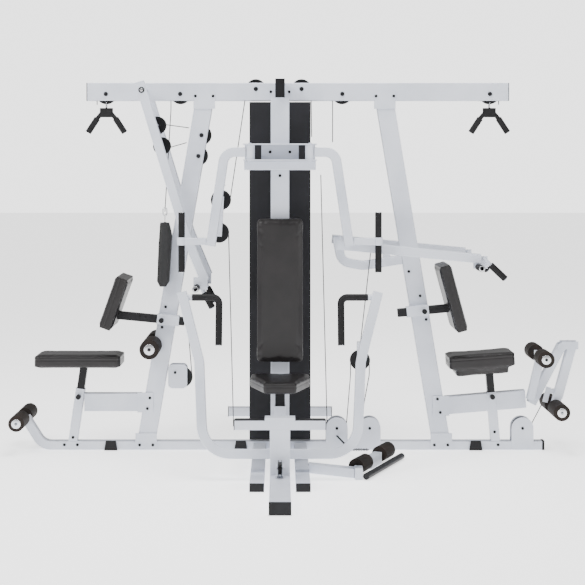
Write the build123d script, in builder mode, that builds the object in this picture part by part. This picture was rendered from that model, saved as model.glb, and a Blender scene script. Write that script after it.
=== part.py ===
from build123d import *
import os
from math import atan2, cos, radians, sin, tan

# Multi-station home gym: a leaning two-upright frame, a centre tower with three
# weight stacks, a press and pec-fly station in front, a seated row station on
# the left and a shoulder-press and leg-extension station on the right.
# Millimetres. X runs to the right, Y to the back, Z up. The tower centre is at
# X = 0 and the long base rail at Y = 0; the last step moves the whole gym so
# that its footprint centre is the origin.

# ---- driving dimensions ----
tall = 2081            # top of the long beam above the floor
tube_w = 101.6         # wide side of the main tube
tube_d = 50.8          # narrow side of the main tube
wall = 2.7             # tube wall
arm_w = 50.8           # square tube of the moving arms
grip_r = 18.0          # rubber hand grips
bolt_r = 8.0           # frame bolt heads
gap = 0.5              # running clearance between moving pieces
axle_r = 9.0           # axles of the foam rollers
pin_r = 6.0            # pulley pins

left_end = -1308       # where the base rail starts to curve up
right_end = 1485       # right end of the base rail
front_y = -1387        # toe of the front foot
back_y = 1000          # back face of the rear foot
rail_z = tube_d / 2    # centre height of the base rail
beam_z = tall - tube_w / 2
beam_left = -1092
beam_right = 1294

left_top_x = -429      # left upright at the beam, then at the rail
left_low_x = -758
right_top_x = 594      # right upright at the beam, then at the rail
right_low_x = 914
upright_low_z = tube_d
upright_top_z = tall - tube_w

tower_half = 173       # half width of the weight-stack shroud
tower_front = -32      # front face of the shroud
tower_back = 890
stack_y = (150, 445, 740)
leg_tip_x = 1690       # right side of the leg-developer pivot plate
roller_left_x = -1460  # axle of the foot rollers
foot_roller_r = 44


def lean_x(top_x, low_x, height):
    """X of a leaning upright's centre at this height."""
    share = (height - upright_low_z) / (upright_top_z - upright_low_z)
    return low_x + share * (top_x - low_x)


def upright_plane(centre, out):
    """Sketch plane on a vertical face: its own y axis points up."""
    return Plane(origin=centre, x_dir=(-out[1], out[0], 0), z_dir=out)


def box_tube(start, end, across, width, depth, thick=wall):
    """Straight rectangular tube; its width lies along the direction across."""
    run = Vector(*end) - Vector(*start)
    with BuildPart() as piece:
        with BuildSketch(Plane(origin=start, x_dir=across, z_dir=run.normalized())):
            RectangleRounded(width, depth, 5)
            if thick:
                RectangleRounded(width - 2 * thick, depth - 2 * thick, 2.5, mode=Mode.SUBTRACT)
        extrude(amount=run.length)
    return piece.part


def bar(start, end, radius, bore=0.0):
    """Round bar or sleeve from start to end."""
    run = Vector(*end) - Vector(*start)
    with BuildPart() as piece:
        with BuildSketch(Plane(origin=start, z_dir=run.normalized())):
            Circle(radius)
            if bore:
                Circle(bore, mode=Mode.SUBTRACT)
        extrude(amount=run.length)
    return piece.part


def bent_tube(points, bends, width, depth, across, thick=wall):
    """Rectangular tube swept along straight runs joined by round bends."""
    with BuildPart() as piece:
        with BuildLine() as route:
            FilletPolyline(*points, radius=bends)
        start = route.line @ 0
        with BuildSketch(Plane(origin=start, x_dir=across, z_dir=route.line % 0)):
            RectangleRounded(width, depth, 5)
            if thick:
                RectangleRounded(width - 2 * thick, depth - 2 * thick, 2.5, mode=Mode.SUBTRACT)
        sweep(path=route.line)
    return piece.part


def cord_run(points, bends, radius):
    """Round cord swept along its route."""
    with BuildPart() as piece:
        with BuildLine() as route:
            if bends:
                FilletPolyline(*points, radius=bends)
            else:
                Polyline(*points)
        with BuildSketch(Plane(origin=route.line @ 0, z_dir=route.line % 0)):
            Circle(radius)
        sweep(path=route.line)
    return piece.part


def slab(corner, size, turn=(0, 0, 0), rounding=0.0):
    """Solid block centred on a point, turned, its upright edges rounded."""
    with BuildPart() as piece:
        with BuildSketch(Plane(Location(corner, turn)).offset(-size[2] / 2)):
            if rounding:
                RectangleRounded(size[0], size[1], rounding)
            else:
                Rectangle(size[0], size[1])
        extrude(amount=size[2])
    return piece.part


def along(ends, y, share):
    """Point this share of the way between two (x, z) ends, at this y."""
    (x0, z0), (x1, z1) = ends
    return (x0 + share * (x1 - x0), y, z0 + share * (z1 - z0))


def gather(*solids):
    """Keep several solids together in one named piece."""
    with BuildPart() as piece:
        for solid in solids:
            add(solid)
    return piece


def bolt_head(centre, out):
    """Domed hexagon-socket head standing on a face, its top towards out."""
    with BuildPart() as piece:
        with BuildSketch(Plane(origin=centre, z_dir=out)):
            Circle(bolt_r)
        extrude(amount=5.5)
        chamfer(piece.faces().sort_by(Axis(centre, out))[-1].edges(), 2)
        with BuildSketch(Plane(origin=centre, z_dir=out).offset(2.5)):
            RegularPolygon(3.2, 6)
        extrude(amount=6, mode=Mode.SUBTRACT)
    return piece.part


def pulley(centre, axis, radius=57, width=25, bore=6.5):
    """Grooved cable pulley turning on a plain bore."""
    rim = width / 2
    with BuildPart() as piece:
        with BuildSketch(Plane(origin=centre, z_dir=axis)):
            Circle(radius)
            Circle(bore, mode=Mode.SUBTRACT)
        extrude(amount=rim, both=True)
        with BuildSketch(Plane(origin=centre, z_dir=axis)):
            Circle(radius + 1)
            Circle(radius - 9, mode=Mode.SUBTRACT)
        extrude(amount=6.5, both=True, mode=Mode.SUBTRACT)
        for side in (1, -1):
            with BuildSketch(Plane(origin=centre, z_dir=axis).offset(side * rim)):
                Circle(radius - 12)
                Circle(18, mode=Mode.SUBTRACT)
            extrude(amount=-side * 6, mode=Mode.SUBTRACT)
    return piece.part


def arch_bracket(x, side):
    """Round-topped cheek plate that holds a low pulley on the base rail."""
    with BuildPart() as piece:
        with BuildSketch(upright_plane((x, side * (tube_d / 2), low_pulley_z), (0, side, 0))):
            Circle(62)
            with Locations((0, -(low_pulley_z - 8) / 2)):
                Rectangle(124, low_pulley_z - 8)
            Circle(6.2, mode=Mode.SUBTRACT)
        extrude(amount=4)
    return piece.part


# ---- long base rail, curved up to the foot rollers at its left end ----
low_pulley_z = 124
rail_curve_x = roller_left_x + 14
rail_curve_z = 182
base_rail = BuildPart()
with base_rail:
    add(bent_tube(
        [(right_end, 0, rail_z), (left_end - 40, 0, rail_z), (rail_curve_x, 0, rail_curve_z)],
        [90], tube_d, tube_d, (0, 1, 0)))
    add(bar((roller_left_x, -206, rail_curve_z), (roller_left_x, 206, rail_curve_z), axle_r))

# ---- top beam with pulley slots, and the two leaning uprights ----
high_x = (-987, 1190)          # outer pulleys, under the beam
mid_x = (-566, 353)            # inner pulleys, under the beam
over_x = (-137, 122)           # pulleys that stand above the beam
high_z = 2018
over_z = 2046
with BuildPart() as top_beam:
    add(box_tube((beam_left, 0, beam_z), (beam_right, 0, beam_z), (0, 1, 0), tube_d, tube_w))
    for x in high_x + mid_x:
        with Locations((x, 0, beam_z - tube_w / 2)):
            Box(130, 32, 20, mode=Mode.SUBTRACT)
    for x in over_x:
        with Locations((x, 0, beam_z + tube_w / 2), (x * 1.2, 0, beam_z - tube_w / 2)):
            Box(130, 32, 20, mode=Mode.SUBTRACT)
    for x in high_x + mid_x:
        with Locations((x, 0, high_z)):
            Cylinder(pin_r, 80, rotation=(90, 0, 0), mode=Mode.SUBTRACT)
    for x in over_x:
        with Locations((x, 0, over_z)):
            Cylinder(pin_r, 80, rotation=(90, 0, 0), mode=Mode.SUBTRACT)
    with Locations(Plane(origin=(-770, 0, 2032), z_dir=(0, 1, 0))):
        Cylinder(21, 90, mode=Mode.SUBTRACT)


def leaning_tube(top_x, low_x):
    """2 x 4 upright between rail and beam, with bolting plates at both ends."""
    lean = (top_x - low_x) / (upright_top_z - upright_low_z)
    run = upright_top_z - upright_low_z + 80
    start = (low_x - 40 * lean, 0, upright_low_z - 40)
    end = (start[0] + run * lean, 0, start[2] + run)
    with BuildPart() as piece:
        add(box_tube(start, end, (1, 0, -lean), tube_w, tube_d))
        split(bisect_by=Plane.XY.offset(upright_low_z), keep=Keep.TOP)
        split(bisect_by=Plane.XY.offset(upright_top_z), keep=Keep.BOTTOM)
        for x, low, high in ((low_x, 6, 96), (top_x, upright_top_z - 46, upright_top_z + 54)):
            with Locations((x, -tube_d / 2 - 2.5, (low + high) / 2)):
                Box(122, 5, high - low)
    return piece


left_upright = leaning_tube(left_top_x, left_low_x)
right_upright = leaning_tube(right_top_x, right_low_x)
strut_pulley_z = (1785, 1668)
with left_upright:
    for z in strut_pulley_z:
        with Locations((lean_x(left_top_x, left_low_x, z) + 40, 0, z)):
            Box(60, 32, 128, mode=Mode.SUBTRACT)
        with Locations((lean_x(left_top_x, left_low_x, z) + 16, 0, z)):
            Cylinder(pin_r, 80, rotation=(90, 0, 0), mode=Mode.SUBTRACT)

thigh_axle = (-721, 597)
with left_upright:
    add(bar((thigh_axle[0], -232, thigh_axle[1]), (thigh_axle[0], 232, thigh_axle[1]), axle_r))
    with Locations((thigh_axle[0] + 10, 0, thigh_axle[1])):
        Box(70, tube_d + 6, 60)

# ---- pad sleeves that slide on a bar, welded in front of the uprights ----
sleeve_y = -tube_d / 2 - 32
sleeve_tilt = radians(5.5)
left_sleeve = (-630, 742)      # x and z of the sleeve centres
right_sleeve = (775, 792)
sleeve_half = 62


def slide_line(centre, toward, reach):
    """Point on a pad slide; it drops toward the upright by the sleeve tilt."""
    x = centre[0] + toward * reach * cos(sleeve_tilt)
    return (x, sleeve_y, centre[1] + reach * sin(sleeve_tilt))


left_pad_sleeve = gather(box_tube(
    slide_line(left_sleeve, -1, -sleeve_half), slide_line(left_sleeve, -1, sleeve_half),
    (0, 1, 0), 58, 58, 4))
right_pad_sleeve = gather(box_tube(
    slide_line(right_sleeve, 1, -sleeve_half), slide_line(right_sleeve, 1, sleeve_half),
    (0, 1, 0), 58, 58, 4))
for sleeve, centre in ((left_pad_sleeve, left_sleeve), (right_pad_sleeve, right_sleeve)):
    with sleeve:
        with Locations((centre[0], -tube_d / 2 - 1.5, centre[1])):
            Box(90, 3, 70)

# ---- centre tower: spine tube, front and rear posts, floor tubes ----
spine_z = beam_z + 6
post_y = -210
post_low_z = 58
with BuildPart() as top_spine:
    add(box_tube((0, -262, spine_z), (0, -tube_d / 2, spine_z), (1, 0, 0), tube_d, tube_w))
    add(box_tube((0, tube_d / 2, spine_z), (0, back_y - 60, spine_z), (1, 0, 0), tube_d, tube_w))
spine_low = spine_z - tube_w / 2
with BuildPart() as centre_upright:
    add(box_tube((0, post_y, post_low_z), (0, post_y, spine_low), (1, 0, 0), tube_w, tube_d))
rear_post_y = back_y - 90
with BuildPart() as rear_upright:
    add(box_tube((0, rear_post_y, post_low_z), (0, rear_post_y, spine_low), (1, 0, 0), tube_w, tube_d))
with BuildPart() as centre_floor_tube:
    add(box_tube((0, front_y + 12, 29), (0, -tube_d / 2, 29), (1, 0, 0), tube_w, 58))
    add(box_tube((0, tube_d / 2, 29), (0, back_y - tube_d, 29), (1, 0, 0), tube_w, 58))
with BuildPart() as side_floor_tubes:
    for side in (1, -1):
        add(box_tube((side * 115, -956, 21), (side * 115, -tube_d / 2, 21), (1, 0, 0), 73, 42))
with BuildPart() as rear_foot:
    add(box_tube((-330, back_y - tube_d / 2, 29), (330, back_y - tube_d / 2, 29), (0, 1, 0), tube_d, 58))

# ---- left and right seat frames ----
left_post_low = (-1175, 0, tube_d)
left_post_top = (-1132, 0, 347)
left_member_z = 270
with BuildPart() as left_seat_post_tube:
    add(box_tube((left_post_low[0] - 4.35, 0, 20.8), left_post_top, (0, 1, 0), tube_d, tube_d))
    split(bisect_by=Plane.XY.offset(tube_d), keep=Keep.TOP)
with BuildPart() as left_seat_member:
    member_end = lean_x(left_top_x, left_low_x, left_member_z) - tube_w / 2 - 14
    add(box_tube((-1109, 0, left_member_z), (member_end, 0, left_member_z), (0, 1, 0), tube_d, tube_w))
    with Locations((member_end + 22, -tube_d / 2 - 2.5, left_member_z)):
        Box(88, 5, 112)

right_slope = radians(4.8)
right_post_low = (1222, 0, tube_d)
right_post_top = (1222 - 276 * tan(right_slope), 0, tube_d + 276)
right_member_left = (938, 251)
right_member_right = (1392, 251 + 454 * tan(right_slope))
with BuildPart() as right_seat_member:
    add(box_tube((right_member_left[0], 0, right_member_left[1]),
                 (right_member_right[0], 0, right_member_right[1]), (0, 1, 0), tube_d, tube_w))
    add(box_tube((1222 + 3, 0, 10), (1222 - 300 * tan(right_slope), 0, tube_d + 300),
                 (0, 1, 0), tube_d + 1, tube_d + 1, 0), mode=Mode.SUBTRACT)
    with Locations((right_member_left[0] - 26, -tube_d / 2 - 2.5, right_member_left[1])):
        Box(94, 5, 112)
with BuildPart() as right_seat_post_tube:
    add(box_tube((1222 + 3, 0, 20.8), right_post_top, (0, 1, 0), tube_d, tube_d))
    split(bisect_by=Plane.XY.offset(tube_d), keep=Keep.TOP)
leg_pivot = (1597, 583)
with BuildPart() as leg_post:
    add(box_tube((1428, 0, 262), (leg_pivot[0] + 2, 0, leg_pivot[1] + 6), (0, 1, 0), tube_d - 1, tube_d))
    with Locations(Plane(origin=(leg_pivot[0], 0, leg_pivot[1]), z_dir=(0, 1, 0))):
        Cylinder(9, 70, mode=Mode.SUBTRACT)
upper_axle = (1473, 537)
with BuildPart() as roller_post:
    add(box_tube((1412, -tube_d - 2, 292), (1461, -tube_d - 2, 500), (0, 1, 0), 44, 44))
    with Locations((1473 - 4, -tube_d - 2, upper_axle[1])):
        Box(62, 38, 62)
    add(bar((upper_axle[0], -206, upper_axle[1]), (upper_axle[0], 206, upper_axle[1]), axle_r))

# ---- pec-fly pivot bracket on the centre upright ----
pec_y = -330
pec_x = 164
pec_low_z = 1644
pec_high_z = 1724
front_face = post_y - tube_d / 2
with BuildPart() as pec_bracket:
    add(box_tube((-196, front_face - 26, 1612), (196, front_face - 26, 1612), (0, 1, 0), tube_d, tube_d))
    for z in (pec_low_z - 6, pec_high_z):
        with Locations((0, (pec_y - 34 + front_face) / 2, z + 3)):
            Box(400, front_face - pec_y + 34, 6)
    with Locations((0, front_face - 22, (pec_low_z + pec_high_z) / 2)):
        Box(204, 8, pec_high_z - pec_low_z)
    for side in (1, -1):
        with Locations((side * pec_x, pec_y, (pec_low_z + pec_high_z) / 2)):
            Cylinder(9, pec_high_z - pec_low_z + 20)
    with Locations((0, (front_face - 22 + front_face) / 2, pec_high_z + 3)):
        Box(150, 22, 6)


# ---- press yoke: a U of square tube that swings forward from the floor ----
yoke_hinge = (-700, 85)        # y and z of the hinge
yoke_base = (-700, 129)        # y and z of the bottom tube
yoke_lean = atan2(185, 811)
brace_y = -830


def yoke_point(x, up):
    """Point of the leaning yoke plane, this far up from the bottom tube."""
    return (x, yoke_base[0] + up * sin(yoke_lean), yoke_base[1] + up * cos(yoke_lean))


yoke_out = (0, cos(yoke_lean), -sin(yoke_lean))
with BuildPart() as press_yoke:
    add(bent_tube(
        [yoke_point(-518, 832), yoke_point(-421, 470), yoke_point(-396, 0),
         yoke_point(396, 0), yoke_point(421, 470), yoke_point(518, 832)],
        [120, 150, 150, 120], arm_w, arm_w, yoke_out))
    with Locations((0, yoke_hinge[0], yoke_hinge[1])):
        Cylinder(17, 84, rotation=(0, 90, 0))
        Cylinder(8.5, 84, rotation=(0, 90, 0), mode=Mode.SUBTRACT)
    with Locations((0, yoke_base[0], 100)):
        Box(84, 26, 12)
    for side in (1, -1):
        add(bar(yoke_point(side * 464, 806), yoke_point(side * 490, 806), 15))
grip_bend = 34
with BuildPart() as press_grips:
    for side in (1, -1):
        with BuildLine() as route:
            FilletPolyline(yoke_point(side * 463, 806), yoke_point(side * 321, 806),
                           yoke_point(side * 321, 556), radius=grip_bend)
        with BuildSketch(Plane(origin=route.line @ 0, z_dir=route.line % 0)):
            Circle(grip_r)
        sweep(path=route.line)
with BuildPart() as press_base:
    add(box_tube((0, brace_y, 58), (0, brace_y, 285), (1, 0, 0), tube_w, tube_d))
    add(box_tube((-228, brace_y, 306), (228, brace_y, 306), (0, 1, 0), tube_d, tube_d - 4))
    add(slab((0, brace_y, 336), (152, 60, 18)))
    add(box_tube((0, -520, 58), (0, -520, 345), (1, 0, 0), 58, 58))
    for side in (1, -1):
        with BuildSketch(upright_plane((side * 43, *yoke_hinge), (side, 0, 0))):
            Circle(17)
            with Locations((0, -(yoke_hinge[1] - 58) / 2)):
                Rectangle(34, yoke_hinge[1] - 58)
        extrude(amount=6)
    with Locations((0, yoke_hinge[0], yoke_hinge[1])):
        Cylinder(8, 98, rotation=(0, 90, 0))
low_fork_y = -905
with BuildPart() as low_fork:
    for side in (1, -1):
        with BuildSketch(upright_plane((side * 16, low_fork_y, 104), (side, 0, 0))):
            Circle(24)
            with Locations((0, -23)):
                Rectangle(48, 46)
        extrude(amount=5)
    with Locations((0, low_fork_y, 104)):
        Cylinder(6, 46, rotation=(0, 90, 0))

# ---- pec-fly arms: sleeve on a vertical pin, elbow, hand bar ----
arm_drop_z = 1684


def pec_arm(side):
    """Steel of one pec-fly arm, right side 1 or left side -1."""
    tube = bent_tube(
        [(side * (pec_x + 22), pec_y, arm_drop_z), (side * 300, pec_y, arm_drop_z),
         (side * 376, pec_y, 1176)],
        [62], arm_w, arm_w, (0, 1, 0))
    hand = box_tube((side * 400, pec_y, 1200), (side * 516, pec_y, 1200), (0, 1, 0), 38, 38, 2)
    with BuildPart() as arm:
        add(tube)
        add(hand)
        with Locations((side * pec_x, pec_y, (pec_low_z + pec_high_z) / 2)):
            Cylinder(27, pec_high_z - pec_low_z - 2 * gap)
            Cylinder(9 + gap, pec_high_z, mode=Mode.SUBTRACT)
        with Locations((side * 534, pec_y, 1200)):
            Cylinder(24, 42)
            Cylinder(11, 318)
    return arm


def pec_grips(side):
    """Two rubber sleeves on the hand bar, above and below its collar."""
    with BuildPart() as grips:
        for low, high in ((1034, 1178), (1222, 1356)):
            add(bar((side * 534, pec_y, low), (side * 534, pec_y, high), grip_r, 11))
    return grips


pec_arm_left = pec_arm(-1)
pec_arm_right = pec_arm(1)
pec_grips_left = pec_grips(-1)
pec_grips_right = pec_grips(1)

# ---- row arm on the left: two struts on one axle through the beam ----
row_hinge = (-770, 2032)
row_front_y = -140
row_rear_y = 200
row_mid = (-524, 1224)
row_low = (-420, 976)
row_grip = (-462, 935)
row_slant = ((-446, 946), (-378, 820))
row_axle = gather(bar((row_hinge[0], row_front_y - 24, row_hinge[1]),
                      (row_hinge[0], row_rear_y + 24, row_hinge[1]), 20))


def row_strut(y, out):
    """One strut of the row arm with its grip plate and the two grip cores."""
    with BuildPart() as strut:
        add(bent_tube([(row_hinge[0] - 14, y, row_hinge[1] + 46), (row_mid[0], y, row_mid[1]),
                       (row_low[0], y, row_low[1])], [200], arm_w, arm_w, (0, 1, 0)))
        add(row_axle.part, mode=Mode.SUBTRACT)
        add(slab((-442, y + out * 21.4, 956), (78, 8, 70)))
        add(bar((row_grip[0], y + out * 18, row_grip[1]), (row_grip[0], y + out * 146, row_grip[1]), 11))
        add(bar(along(row_slant, y, -0.05), along(row_slant, y, 1.03), 11))
    return strut


row_strut_front = row_strut(row_front_y, -1)
row_strut_rear = row_strut(row_rear_y, 1)
with BuildPart() as row_grips:
    for y, out in ((row_front_y, -1), (row_rear_y, 1)):
        add(bar((row_grip[0], y + out * 26, row_grip[1]),
                (row_grip[0], y + out * 143, row_grip[1]), grip_r, 11))
        add(bar(along(row_slant, y, 0.34), along(row_slant, y, 1), grip_r, 11))

# ---- shoulder-press arm on the right, and the curved tube that carries it ----
press_hinge = (336, 1175)
press_front_y = -250
press_rear_y = 337
press_tip = (1100, 1100)
press_grip = (1086, 1056)
press_slant = ((1128, 1092), (1236, 990))
carrier_z = 1052
with BuildPart() as press_carrier:
    carrier_end = lean_x(right_top_x, right_low_x, carrier_z) - tube_w / 2 - 6
    add(bent_tube([(carrier_end, 0, carrier_z + 26), (470, 0, carrier_z - 8),
                   (350, 0, carrier_z + 14), (322, 0, press_hinge[1] + 34)],
                  [120, 64], tube_d, tube_d, (0, 1, 0)))
    with Locations(Plane(origin=(press_hinge[0], 0, press_hinge[1]), z_dir=(0, 1, 0))):
        Cylinder(14, 120, mode=Mode.SUBTRACT)
    with Locations((606, 0, carrier_z + 52)):
        Box(40, 40, 52)
with BuildPart() as press_arm:
    add(bar((press_hinge[0], press_front_y, press_hinge[1]),
            (press_hinge[0], press_rear_y, press_hinge[1]), 13.4))
    for y, out in ((press_front_y, -1), (press_rear_y, 1)):
        add(box_tube((press_hinge[0] - 26, y, press_hinge[1] + 2), (press_tip[0], y, press_tip[1]),
                     (0, 1, 0), arm_w, arm_w))
        add(slab((1100, y, 1080), (78, 8, 68)))
        add(bar((press_grip[0], y, press_grip[1]), (press_grip[0], y + out * 146, press_grip[1]), 11))
        add(bar(along(press_slant, y, -0.12), along(press_slant, y, 1.03), 11))
    cross_z = press_hinge[1] - 16
    add(box_tube((520, press_front_y + 20, cross_z), (520, press_rear_y - 20, cross_z), (1, 0, 0), 38, 38))
with BuildPart() as press_arm_grips:
    for y, out in ((press_front_y, -1), (press_rear_y, 1)):
        add(bar((press_grip[0], y + out * 20, press_grip[1]),
                (press_grip[0], y + out * 143, press_grip[1]), grip_r, 11))
        add(bar(along(press_slant, y, 0.26), along(press_slant, y, 1), grip_r, 11))

# ---- leg-extension arm, hung from the slanted post ----
leg_axle = (1560, 243)
leg_top = (1664, 612)
leg_end = (1578, 296)
with BuildPart() as leg_arm:
    add(box_tube((leg_top[0], 0, leg_top[1]), (leg_end[0], 0, leg_end[1]), (0, 1, 0), tube_d, tube_d))
    add(box_tube((leg_end[0] + 12, 0, leg_end[1] + 44), (leg_axle[0] - 5, 0, leg_axle[1] - 18),
                 (0, 1, 0), 47, 47))
    for side in (1, -1):
        with BuildSketch(upright_plane((leg_pivot[0], side * tube_d / 2, leg_pivot[1]), (0, side, 0))):
            Circle(24)
            with Locations((-side * 46, 10)):
                Rectangle(94, 44)
            Circle(9, mode=Mode.SUBTRACT)
        extrude(amount=5)
    add(bar((leg_axle[0], -206, leg_axle[1]), (leg_axle[0], 206, leg_axle[1]), axle_r))
    add(bar((leg_pivot[0], -31, leg_pivot[1]), (leg_pivot[0], 31, leg_pivot[1]), 8.5))
    add(slab((1541, 0, 330), (56, 8, 28)))
    add(slab((1517, 0, 310), (28, 8, 88), (0, 14, 0)))


def roller_pair(x, z, radius, inner, outer):
    """Two foam rollers on one axle, one in front of the frame and one behind."""
    with BuildPart() as rollers:
        for side in (1, -1):
            add(bar((x, side * inner, z), (x, side * outer, z), radius, axle_r + gap))
    return rollers


foot_rollers = roller_pair(roller_left_x, rail_curve_z, foot_roller_r, 40, 198)
thigh_rollers = roller_pair(thigh_axle[0], thigh_axle[1], 54, 44, 226)
upper_rollers = roller_pair(upper_axle[0], upper_axle[1], 46, 84, 200)
leg_rollers = roller_pair(leg_axle[0], leg_axle[1], 46, 40, 198)

# ---- seats: a black post that slides in the frame, and its pad ----
left_lift = Vector(left_post_top[0] - left_post_low[0], 0, left_post_top[2] - left_post_low[2]).normalized()
right_lift = Vector(-tan(right_slope), 0, 1).normalized()
seat_y = -13
left_seat_z = 481
with BuildPart() as left_seat_post:
    low = Vector(*left_post_top) - left_lift * 170
    high = Vector(*left_post_top) + left_lift * 134
    add(box_tube(tuple(low), tuple(high), (0, 1, 0), 41, 41))
    split(bisect_by=Plane.XY.offset(left_seat_z - 6), keep=Keep.BOTTOM)
    with Locations((-1120, seat_y, left_seat_z - 3)):
        Box(300, 150, 6)
left_seat_pad = gather(slab((-1135, seat_y, left_seat_z + 32), (494, 228, 64), (0, 0, 0), 26))
right_seat_tilt = (0, -4.1, 0)
right_seat_pad = gather(slab((1133, seat_y, 515), (377, 228, 72), right_seat_tilt, 26),
                        slab((1136, seat_y, 462), (300, 200, 40), right_seat_tilt, 26))
with BuildPart() as right_seat_post:
    low = Vector(*right_post_low) + right_lift * 90
    high = Vector(*right_post_low) + right_lift * 400
    add(box_tube(tuple(low), tuple(high), (0, 1, 0), 41, 41))
    add(slab((1150, seat_y, 441), (250, 140, 5), right_seat_tilt))
    add(right_seat_pad.part, mode=Mode.SUBTRACT)
    split(bisect_by=Plane(Location((1137, 0, 443), right_seat_tilt)), keep=Keep.BOTTOM)
seat_z = 428
with BuildPart() as centre_seat_post:
    add(box_tube((0, -520, 130), (0, -520, seat_z - 6), (1, 0, 0), 51, 51))
    with Locations((0, -490, seat_z - 3)):
        Box(180, 240, 6)
with BuildPart() as centre_seat_pad:
    with BuildSketch(Plane.XY.offset(seat_z)) as seat_outline:
        with BuildLine():
            Polyline((-158, -310), (-164, -440), (-84, -657),
                     (84, -657), (164, -440), (158, -310), close=True)
        make_face()
        fillet(seat_outline.vertices(), 18)
    extrude(amount=52)

# ---- pads that the sitter leans on ----
centre_back_pad = gather(slab((0, front_face - 6 - 31, 930.5), (262, 62, 795)))
with centre_back_pad:
    fillet(centre_back_pad.edges().filter_by(Axis.Y), 30)
with centre_upright:
    for z in (720, 1140):
        with Locations((0, front_face - 3, z)):
            Box(86, 6, 60)
chest_pad = gather(slab((-922, sleeve_y, 848), (66, 300, 306), (0, 19.3, 0)))
back_pad = gather(slab((962, sleeve_y, 874), (60, 290, 388), (0, -15, 0)))
with BuildPart() as chest_pad_bar:
    add(box_tube(slide_line(left_sleeve, -1, -92), slide_line(left_sleeve, -1, 310), (0, 1, 0), 45, 45))
    add(chest_pad.part, mode=Mode.SUBTRACT)
    split(bisect_by=Plane(Location((-922 + 33 * cos(radians(19.3)), 0, 848 - 33 * sin(radians(19.3))),
                                   (0, 90 + 19.3, 0))), keep=Keep.TOP)
with BuildPart() as back_pad_bar:
    add(box_tube(slide_line(right_sleeve, 1, -112), slide_line(right_sleeve, 1, 196), (0, 1, 0), 45, 45))
    add(back_pad.part, mode=Mode.SUBTRACT)
    split(bisect_by=Plane(Location((962 - 30 * cos(radians(15)), 0, 874 - 30 * sin(radians(15))),
                                   (0, -90 - 15, 0))), keep=Keep.TOP)

# ---- three weight stacks behind the press station ----
plate = (125, 270, 24)
plate_pitch = 25
plates_resting = 10
plates_lifted = 5
stack_low_z = 140
rod_r = 9.5
lift_z = stack_low_z + plates_resting * plate_pitch
stem_top_z = lift_z + plates_lifted * plate_pitch + 46
with BuildPart() as guide_rods:
    for y in stack_y:
        for side in (1, -1):
            with Locations((0, y + side * 98, 58)):
                Cylinder(rod_r, spine_low - 58, align=(Align.CENTER, Align.CENTER, Align.MIN))
with BuildPart() as resting_plates:
    for y in stack_y:
        for level in range(plates_resting):
            with Locations((0, y, stack_low_z + level * plate_pitch + plate[2] / 2)):
                Box(*plate)
        holes = ((0, 12.5), (98, rod_r + 1.5), (-98, rod_r + 1.5))
        for offset_y, radius in holes:
            with Locations((0, y + offset_y, stack_low_z + 125)):
                Cylinder(radius, 300, mode=Mode.SUBTRACT)


def carriage(y):
    """Head plates lifted by the cable, with the selector stem and its pin."""
    with BuildPart() as moving:
        for level in range(plates_lifted):
            with Locations((0, y, lift_z + 1 + level * plate_pitch + plate[2] / 2)):
                Box(*plate)
        with Locations((0, y, (stem_top_z + stack_low_z + 8) / 2)):
            Cylinder(11, stem_top_z - stack_low_z - 8)
        for side in (1, -1):
            with Locations((0, y + side * 98, lift_z + 60)):
                Cylinder(rod_r + 1.5, 200, mode=Mode.SUBTRACT)
        add(bar((plate[0] / 2, y, lift_z + 13), (plate[0] / 2 + 30, y, lift_z + 13), 4))
        add(bar((plate[0] / 2 + 30, y, lift_z + 13), (plate[0] / 2 + 52, y, lift_z + 13), 11))
    return moving


def stack_cable(y):
    """Lifting cable from the stem up to the spine tube."""
    return gather(bar((0, y, stem_top_z), (0, y, spine_low - 4), 2.6))


carriage_front, carriage_middle, carriage_rear = (carriage(y) for y in stack_y)
stack_cable_front, stack_cable_middle, stack_cable_rear = (stack_cable(y) for y in stack_y)
shroud_z = (62, 1972)
shroud_mid_z = sum(shroud_z) / 2
with BuildPart() as stack_shroud:
    with Locations((0, tower_front, shroud_mid_z)):
        Box(2 * tower_half, 3, shroud_z[1] - shroud_z[0])
    for side in (1, -1):
        with Locations((side * (tower_half - 1.5), (tower_front + 1.5 + tower_back) / 2, shroud_mid_z)):
            Box(3, tower_back - tower_front - 1.5, shroud_z[1] - shroud_z[0])
    for y in stack_y:
        with Locations((tower_half, y, 460)):
            Box(20, 90, 620, mode=Mode.SUBTRACT)

# ---- pulleys: two turn freely at the beam ends, the others are idlers ----
high_pulley_left = gather(pulley((high_x[0], 0, high_z), (0, 1, 0)))
high_pulley_right = gather(pulley((high_x[1], 0, high_z), (0, 1, 0)))
arch_x = (322, 508, 1374)
low_left = (-554, 410)
hung_left = ((-344, -60, 1234), (-333, -60, 1418))
hung_right = (452, -40, 512)
idlers = [((x, 0, high_z), (0, 1, 0)) for x in mid_x]
idlers += [((x, 0, over_z), (0, 1, 0)) for x in over_x]
idlers += [((x, 0, low_pulley_z), (0, 1, 0)) for x in arch_x]
idlers += [((lean_x(left_top_x, left_low_x, z) + 16, 0, z), (0, 1, 0)) for z in strut_pulley_z]
through_pins = idlers + [((x, 0, high_z), (0, 1, 0)) for x in high_x]
idlers += [((low_left[0], 0, low_left[1]), (0, 1, 0)), (hung_right, (0, 1, 0))]
idlers += [(spot, (0, 1, 0)) for spot in hung_left]
idler_pulleys = gather(*(pulley(spot, axis) for spot, axis in idlers),
                       pulley((0, low_fork_y, 104), (1, 0, 0), 40, 20))
with BuildPart() as pulley_pins:
    for (x, y, z), axis in through_pins:
        add(bar((x, -tube_d / 2, z), (x, tube_d / 2, z), pin_r))
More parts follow.
